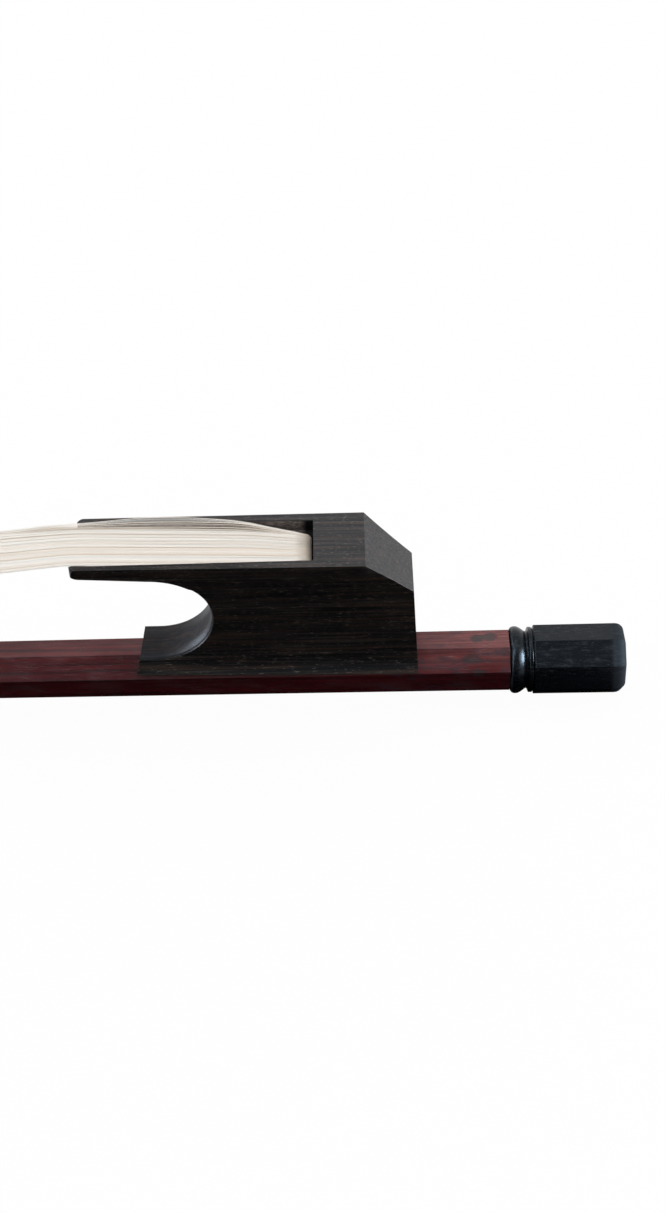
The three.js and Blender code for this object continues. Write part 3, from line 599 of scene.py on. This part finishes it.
def fold_stations(node, outward, half):
    """Stations up the leg beside a plug and over its edge."""
    edge, inward, normal, middle = plug_frame(node, outward)
    leg = [(-LEG_GAP, -LEG_DEPTH), (-LEG_GAP, -LEG_DEPTH / 2)]
    for i in range(FOLD_STEPS + 1):
        angle = math.pi - math.pi / 2 * i / FOLD_STEPS
        inset = FOLD_RADIUS - LEG_GAP + FOLD_RADIUS * math.cos(angle)
        rise = HAIR_GAP - FOLD_RADIUS + FOLD_RADIUS * math.sin(angle)
        leg.append((inset, rise))
    made = []
    for i, (inset, rise) in enumerate(leg):
        width = KNOT_HALF + (half - KNOT_HALF) * min(i / 2, 1)
        place = edge + inward * inset + normal * rise
        made.append(station(place, middle - width, middle + width, FOLD_THICK))
    return made


frog_fold = fold_stations("frog_mortise_plug", 1, FROG_FOLD_HALF)
head_fold = fold_stations("head_mortise_plug", -1, HEAD_FOLD_HALF)
head_edge, head_inward, head_normal, _ = plug_frame("head_mortise_plug", -1)
fold_end = frog_fold[-1]
trough_run = fold_end["place"].x - TONGUE_FRONT
lip = Vector((TONGUE_FRONT, 0, FACE - LIP_DEPTH))
head_lip = head_edge + head_inward * HEAD_LIP + head_normal * HAIR_GAP
outer_run = lip.x - head_lip.x


def hair_height(run):
    """Height of the ribbon's middle, run millimetres from the fold: two lines, softly joined."""
    inside = fold_end["place"].z + (lip.z - fold_end["place"].z) * run / trough_run
    share = (run - trough_run) / outer_run
    outside = lip.z + (head_lip.z - lip.z) * share - 4 * SAG * share * (1 - share)
    lower, upper = sorted((inside, outside))
    return lower - BEND * math.log1p(math.exp((lower - upper) / BEND))


print("hair runs", round(trough_run, 1), "mm in the trough and", round(outer_run, 1), "mm free")

# %% Stations along the hair
RIBBON_HALF = 4.6
RIBBON_THICK = 0.22
FREEING_RUN = 12
TROUGH_STOPS = 26
SPAN_STOPS = 34
SPAN_CROWDING = 1.7
stations = list(frog_fold)
runs = [trough_run * i / TROUGH_STOPS for i in range(1, TROUGH_STOPS + 1)]
for i in range(1, SPAN_STOPS + 1):
    runs.append(trough_run + outer_run * (i / SPAN_STOPS) ** SPAN_CROWDING)
for run in runs:
    share = min(run / trough_run, 1)
    beyond = max(run - trough_run, 0) / outer_run
    near = RIBBON_HALF + 0.1 * share
    low = -near + (near + fold_end["low"]) * max(1 - run / 2.5, 0) ** 2
    far = RIBBON_HALF + 0.4 * share
    high = fold_end["high"] + (far - fold_end["high"]) * min(run / SPREAD_LENGTH, 1) ** 0.6
    freed = smooth(run, trough_run, trough_run + FREEING_RUN)
    low += 1.0 * beyond - 0.45 * freed
    high += -1.0 * beyond + 0.3 * freed
    veil = smooth(run, 5, 22) * (1 - smooth(run, 24, 38))
    place = Vector((fold_end["place"].x - run, 0, hair_height(run)))
    lift = smooth(run, 0, 13) * (1 - smooth(run, trough_run - 2, trough_run + FREEING_RUN))
    stations.append(station(place, low, high, RIBBON_THICK, veil, lift))
stations += reversed(head_fold)
print(len(stations), "stations from", stations[0]["place"][:], "to", stations[-1]["place"][:])

# %% [markdown]
# ## The hairs
#
# A cello bow carries about two hundred hairs. They lie in small locks that keep together along
# the ribbon, each lock a little lighter or darker than the next, and single hairs wander across
# their neighbours. Every hair is a thin four-sided thread through the stations above, with its
# own share of the ribbon's width and thickness. Hair curves could draw them too, but each hair
# has its own place at every station and its own tint, so the threads are built point by point as
# a mesh. A thin striped sheet lies among them and closes the gaps. At the far side the outermost
# hairs are finer and lie up on the trough's wall.

# %% Horsehair strands
HAIRS = 240
LOCKS = 40
STRAND_RADIUS = 0.09
STRAND_DEPTH = 0.045
STRAY = 0.1
FAR_TAIL = 0.12
NEAR_TAIL = 0.04
TAIL_THINNING = 0.7
FAR_VEIL = 1.3
NEAR_VEIL = 0.5
VEIL_LIFT = 0.12
SHEET_COLUMNS = 120
SHEET_TOP = 0.0
SHEET_BASE = -0.15
SHEET_INSET = 0.35
dice = random.Random(7)
LOCK_TINT = 0.68
LOCK_SPREAD = 0.2
COLUMN_TINT = 0.62
COLUMN_SPREAD = 0.24
lock_tints = [dice.gauss(LOCK_TINT, LOCK_SPREAD) for _ in range(LOCKS + 1)]


def hair_ring(centre, side, normal, size):
    """The four corners of a hair's section."""
    wide = side * STRAND_RADIUS * size
    deep = normal * STRAND_DEPTH * size
    return [HANDLE @ ((centre + way) * MM) for way in (wide, deep, wide * -1, deep * -1)]


tangents = []
for i in range(len(stations)):
    before = stations[max(i - 1, 0)]["place"]
    after = stations[min(i + 1, len(stations) - 1)]["place"]
    tangents.append((after - before).normalized())
print(len(lock_tints), "lock tints,", len(tangents), "directions along the hair")

# %% Single hairs
verts, faces, tints = [], [], []
for i in range(HAIRS):
    share = min(max((i + dice.uniform(-1.5, 2.5)) / HAIRS, 0.002), 0.998)
    depth = dice.uniform(-0.5, 0.5)
    phase = dice.uniform(0, math.tau)
    wave = dice.uniform(30, 80)
    lock = share * LOCKS
    tint = lock_tints[int(lock)] + (lock_tints[int(lock) + 1] - lock_tints[int(lock)]) * (lock % 1)
    tint = min(max(tint + dice.gauss(0, 0.12), 0), 1)
    far_tail = max(share - 1 + FAR_TAIL, 0) / FAR_TAIL
    near_tail = max(NEAR_TAIL - share, 0) / NEAR_TAIL
    first = len(verts)
    for stop, tangent in zip(stations, tangents):
        normal = tangent.cross(ACROSS) * -1
        along = stop["place"].x
        wander = STRAY * math.sin(phase + along / wave) * math.sin(math.pi * share)
        width = stop["high"] - stop["low"] - 2 * STRAND_RADIUS
        across = stop["low"] + STRAND_RADIUS + width * share + wander
        across += stop["veil"] * (FAR_VEIL * far_tail ** 1.3 - NEAR_VEIL * near_tail)
        lift = stop["thick"] * depth
        on_wall = min(far_tail * 1.9, 1) * stop["lift"]
        lift += on_wall * (max(FACE + VEIL_LIFT - stop["place"].z, 0) - lift)
        centre = stop["place"] + ACROSS * across + normal * lift
        size = 1 - TAIL_THINNING * min(far_tail * 2.5, 1) * stop["lift"]
        verts += hair_ring(centre, ACROSS, normal, size)
        tints += [tint] * 4
    for stop in range(len(stations) - 1):
        for k in range(4):
            a = first + 4 * stop + k
            b = first + 4 * stop + (k + 1) % 4
            faces.append((a, b, b + 4, a + 4))
print(HAIRS, "single hairs,", len(faces), "faces")

# %% The sheet among the hairs
first = len(verts)
column_tints = []
for _ in range(SHEET_COLUMNS + 1):
    column_tints.append(min(max(dice.gauss(COLUMN_TINT, COLUMN_SPREAD), 0), 1))
for stop, tangent in zip(stations, tangents):
    normal = tangent.cross(ACROSS) * -1
    low = stop["low"] + SHEET_INSET
    width = stop["high"] - SHEET_INSET - low
    for level, order in ((SHEET_TOP, 1), (SHEET_BASE, -1)):
        columns = range(SHEET_COLUMNS + 1)[::order]
        for column in columns:
            place = stop["place"] + ACROSS * (low + width * column / SHEET_COLUMNS) + normal * level
            verts.append(HANDLE @ (place * MM))
            tints.append(column_tints[column])
around = 2 * (SHEET_COLUMNS + 1)
for stop in range(len(stations) - 1):
    for k in range(around):
        a = first + around * stop + k
        b = first + around * stop + (k + 1) % around
        faces.append((a, b, b + around, a + around))
for start in (first, first + around * (len(stations) - 1)):
    for column in range(SHEET_COLUMNS):
        a, b = start + column, start + around - 1 - column
        faces.append((a, a + 1, b - 1, b))
print("sheet of", SHEET_COLUMNS, "columns")

# %% Hair as one mesh
mesh = bpy.data.meshes.new("hair_strands")
mesh.from_pydata(verts, [], faces)
tint_layer = mesh.attributes.new("tint", "FLOAT", "POINT")
tint_layer.data.foreach_set("value", tints)
hair = bpy.data.objects.new("hair_strands", mesh)
bpy.context.scene.collection.objects.link(hair)
HANDLE @ (head_lip * MM)
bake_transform(hair)
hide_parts("hair_ribbon")
print(HAIRS, "hairs,", len(faces), "faces")

# %% [markdown]
# ## The hair's colour
#
# Bleached horsehair is a warm off-white. Where it folds down over the plug into the mortise it is
# mixed towards a yellow-brown, which is painted shade. Each hair takes its tint from the stored
# number, so the locks show as soft stripes.

# %% Horsehair
HAIR_DARK = (0.93, 0.78, 0.62)
HAIR_LIGHT = (1.0, 0.98, 0.94)
HAIR_FOLD_SHADE = (0.55, 0.45, 0.33)
THROUGH_SHARE = 0.12
horsehair = new_material("horsehair")
x, y, z = horsehair.ruler()
tint = horsehair.node("Attribute", {"attribute_name": "tint"}, {}, "Fac")
# Painted shade: the hair mixes towards a yellow-brown where it folds down over the plug.
fold_shade = x.ramp(-35.4, -33.2)
colour = horsehair.mix(tint, HAIR_DARK, HAIR_LIGHT)
colour = horsehair.mix(fold_shade * 0.6, colour, HAIR_FOLD_SHADE)
lit_through = horsehair.node("BsdfTranslucent", {}, {"Color": colour})
skin = horsehair.surface(Base_Color=colour, Roughness=0.45)
horsehair.finish(horsehair.node("MixShader", {}, {0: THROUGH_SHARE, 1: skin, 2: lit_through}))
give(hair, horsehair)
print("horsehair on", hair.name)

# %% [markdown]
# ## The screw's thread
#
# The screw is a steel rod with a fine thread of 0.6 mm pitch at its front half. The part draws
# it at its core diameter; the thread itself is one ridge wound round that core, right-handed, so
# that it turns with the adjuster and feeds through the brass eyelet.

# %% Screw thread
PITCH = 0.6
THREAD_LENGTH = 24
CORE_RADIUS = 1.33
CREST_RADIUS = 1.6
RIDGE_HALF = 0.26
BARE_TURNS = 2
STEPS = 24
screw_low, _ = reach_of("screw")
turns = int(THREAD_LENGTH / PITCH) - BARE_TURNS
verts, faces = [], []
for i in range(turns * STEPS + 1):
    angle = math.tau * i / STEPS
    start = screw_low.x + PITCH * (1 + i / STEPS)
    ridge = ((-RIDGE_HALF, CORE_RADIUS), (0, CREST_RADIUS), (RIDGE_HALF, CORE_RADIUS))
    for shift, radius in ridge:
        verts.append(at(start + shift, -radius * math.sin(angle), radius * math.cos(angle)))
for i in range(turns * STEPS):
    a = 3 * i
    faces += [(a, a + 1, a + 4, a + 3), (a + 1, a + 2, a + 5, a + 4), (a + 2, a, a + 3, a + 5)]
faces += [(0, 1, 2), (len(verts) - 1, len(verts) - 2, len(verts) - 3)]
mesh = bpy.data.meshes.new("screw_thread")
mesh.from_pydata(verts, [], faces)
thread = bpy.data.objects.new("screw_thread", mesh)
bpy.context.scene.collection.objects.link(thread)
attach(thread, "adjuster")
print("thread of", turns, "turns")

# %% [markdown]
# ## The metals
#
# The screw is plain turned steel and the eyelet is dull brass. Neither is plated. Both carry the
# fine rings that a lathe tool leaves, so their roughness varies along the axis.

# %% Steel and brass
for name, tone, rings, rough, members in (
    ("steel", (0.34, 0.345, 0.35), 0.09, 0.3, [nodes["screw"], thread]),
    ("brass", (0.5, 0.33, 0.12), 0.14, 0.36, [nodes["eyelet"]]),
):
    metal = new_material(name)
    x, y, z = metal.ruler()
    lathe = metal.noise(metal.join(x / rings, y / 6, z / 6), detail=2)
    film = metal.noise(metal.join(x / 2, y / 1.5, z / 1.5), detail=3)
    dull = tuple(0.6 * c for c in tone)
    metal.finish(
        metal.surface(
            Base_Color=metal.mix(film * 0.6, tone, dull),
            Metallic=1.0,
            Roughness=rough + lathe * 0.15,
        )
    )
    for member in members:
        give(member, metal)
print("metals on screw, thread and eyelet")

# %% [markdown]
# ## What the mortises hide
#
# The plugs are whittled from soft pale wood. The knots are the hair's own ends, singed or dipped
# in rosin until they are brown and hard, and a waxed thread is wound round each.

# %% Plugs, knots and bindings
plug = new_material("plug_wood")
x, y, z = plug.ruler()
rings = plug.noise(plug.join(x / 9, y / 0.5, z / 2), detail=3)
plug.finish(
    plug.surface(
        Base_Color=plug.mix(rings.ramp(0.3, 0.7), (0.62, 0.44, 0.25), (0.45, 0.28, 0.13)),
        Roughness=0.75,
        Normal=plug.bump(rings, 0.03),
    )
)
sealed = new_material("sealed_hair")
x, y, z = sealed.ruler()
fused = sealed.noise(sealed.join(x / 1.2, y / 0.2, z / 0.2), detail=3)
sealed.finish(
    sealed.surface(
        Base_Color=sealed.mix(fused, (0.3, 0.2, 0.1), (0.6, 0.5, 0.36)),
        Roughness=0.35,
        Normal=sealed.bump(fused, 0.05),
    )
)
waxed = new_material("thread")
x, y, z = waxed.ruler()
twist = waxed.noise(waxed.join((x + y * 0.6) / 0.18, y / 0.5, z / 0.5), detail=2)
waxed.finish(
    waxed.surface(
        Base_Color=waxed.mix(twist, (0.62, 0.58, 0.48), (0.8, 0.77, 0.68)),
        Roughness=0.6,
        Normal=waxed.bump(twist, 0.04),
    )
)
for end in ("frog", "head"):
    give(nodes[f"{end}_mortise_plug"], plug)
    give(nodes[f"{end}_hair_knot"], sealed)
    give(nodes[f"{end}_knot_binding"], waxed)
for node, mate in (("stick", wood), ("frog", ebony), ("button", jet), ("hair_ribbon", horsehair)):
    give(nodes[node], mate)
print("hidden pieces finished")

# %% [markdown]
# ## The table and the light
#
# The bow lies hair up on a white table in an evenly lit white room, with one soft lamp above and
# a little behind it. The camera and the reflections see the table as plain white, with a small
# share of its real shade mixed in, which keeps the bow's shadow. In the photograph the facets
# towards the camera mirror something dark, so two cards stand for the near side of the room: a
# black one on the near half of the table and a grey one upright at its edge. The camera doesn't see
# them. Four bluish lamps stand for windows. They make highlights only, because a lamp that also
# lit matt surfaces would brighten the dark woods. Their places and the cards' were tried until
# the facets looked as they do in the photograph.

# %% Floor
FAR = 6


def sheet(name, corners, shader):
    """A flat piece of the studio."""
    mesh = bpy.data.meshes.new(name)
    mesh.from_pydata(corners, [], [(0, 1, 2, 3)])
    obj = bpy.data.objects.new(name, mesh)
    bpy.context.scene.collection.objects.link(obj)
    give(obj, shader)
    return obj


def table_corners(right, near, far, z):
    return [(-FAR, near, z), (right, near, z), (right, far, z), (-FAR, far, z)]


SHADOW_SHARE = 0.03
FLOOR_DROP = 0.3

paper = new_material("white_table")
to_camera, to_gloss, through = [
    paper.node("LightPath", {}, {}, f"Is {kind} Ray") for kind in ("Camera", "Glossy", "Transmission")
]
seen = (to_camera + to_gloss + through) * (1 - SHADOW_SHARE)
plain = paper.node("Emission", {}, {"Color": (1, 1, 1, 1), "Strength": 1.0})
matt = paper.node("BsdfDiffuse", {}, {"Color": (0.9, 0.9, 0.9, 1)})
paper.finish(paper.node("MixShader", {}, {0: seen, 1: matt, 2: plain}))
sheet("floor", table_corners(FAR, -FAR, FAR, -FLOOR_DROP * MM), paper)

print("floor in place")

# %% World
world = bpy.data.worlds.new("soft_room")
bpy.context.scene.world = world
room = Shader(world)
room.finish(room.node("Background", {}, {"Color": (1, 1, 1, 1), "Strength": 1.0}), "OutputWorld")

print("room in place")

# %% Cards
black = new_material("black_card")
underside = black.node("NewGeometry", {}, {}, "Backfacing")
soot = black.node("BsdfDiffuse", {}, {"Color": (0.01, 0.01, 0.01, 1)})
clear = black.node("BsdfTransparent", {}, {})
black.finish(black.node("MixShader", {}, {0: underside, 1: soot, 2: clear}))
grey = new_material("grey_card")
grey.finish(grey.node("BsdfDiffuse", {}, {"Color": (0.3, 0.3, 0.3, 1)}))
CARD_DISTANCE = 0.5
CARD_HEIGHT = 1.0
CARD_RIGHT = 0.36
CARD_DROP = 0.15
CARD_HALF = 0.9
lying = table_corners(CARD_RIGHT, -CARD_DISTANCE, 0, -CARD_DROP * MM)
table_card = sheet("table_card", lying, black)
front_card = sheet(
    "front_card",
    [
        (-CARD_HALF, -CARD_DISTANCE, 0),
        (CARD_HALF, -CARD_DISTANCE, 0),
        (CARD_HALF, -CARD_DISTANCE, CARD_HEIGHT),
        (-CARD_HALF, -CARD_DISTANCE, CARD_HEIGHT),
    ],
    grey,
)
for card in (table_card, front_card):
    card.visible_camera = False
print("cards in place")

# %% Lamps
WINDOW_BLUE = (0.8, 0.9, 1.0)


def sun(name, azimuth, elevation, strength, spread):
    """A distant lamp; azimuth turns from +X towards +Y, spread is its angle across."""
    lamp = bpy.data.lights.new(name, "SUN")
    lamp.energy = strength
    lamp.angle = math.radians(spread)
    obj = bpy.data.objects.new(name, lamp)
    a, e = math.radians(azimuth), math.radians(elevation)
    back = Vector((math.cos(a) * math.cos(e), math.sin(a) * math.cos(e), math.sin(e)))
    obj.rotation_mode = "QUATERNION"
    obj.rotation_quaternion = back.to_track_quat("Z", "Y")
    bpy.context.scene.collection.objects.link(obj)
    return obj


sun("key", 90, 80, 0.5, 40)
for name, azimuth, elevation, strength, spread in (
    ("left_gleam", 185, 14, 12.0, 68),
    ("high_gleam", 200, 42, 4.0, 50),
    ("right_gleam", -27, 26, 2.6, 34),
    ("low_gleam", -8, 12, 11.0, 26),
):
    gleam = sun(name, azimuth, elevation, strength, spread)
    gleam.data.color = WINDOW_BLUE
    gleam.visible_diffuse = False
print("lamps in place")

# %% [markdown]
# ## The camera
#
# The photograph looks down at the frog from the side, about 44 degrees above the stick and 37
# centimetres away. The place comes from a fit to the facets, the frog's long edges and the
# button: along the ruler, then turned down, then rolled by a degree.

# %% Camera
SENSOR_WIDTH = 36
FOCAL_LENGTH = 65.29
AIM_X = -29.5
ELEVATION = 43.644
ROLL = -1.0866
CAMERA_RISE = 9.515
CAMERA_DISTANCE = 370.207
camera_data = bpy.data.cameras.new("camera")
camera_data.sensor_width = SENSOR_WIDTH
camera_data.lens = FOCAL_LENGTH
camera_data.clip_start = 0.01
camera_data.clip_end = 50
camera = bpy.data.objects.new("camera", camera_data)
camera.matrix_world = (
    HANDLE
    @ Matrix.Translation((AIM_X * MM, 0, 0))
    @ Matrix.Rotation(math.radians(90 - ELEVATION), 4, "X")
    @ Matrix.Rotation(math.radians(ROLL), 4, "Z")
    @ Matrix.Translation((0, CAMERA_RISE * MM, CAMERA_DISTANCE * MM))
)
bpy.context.scene.collection.objects.link(camera)
bpy.context.scene.camera = camera
bpy.context.scene.view_settings.view_transform = "Standard"
print("camera at", [round(c, 4) for c in camera.matrix_world.translation])
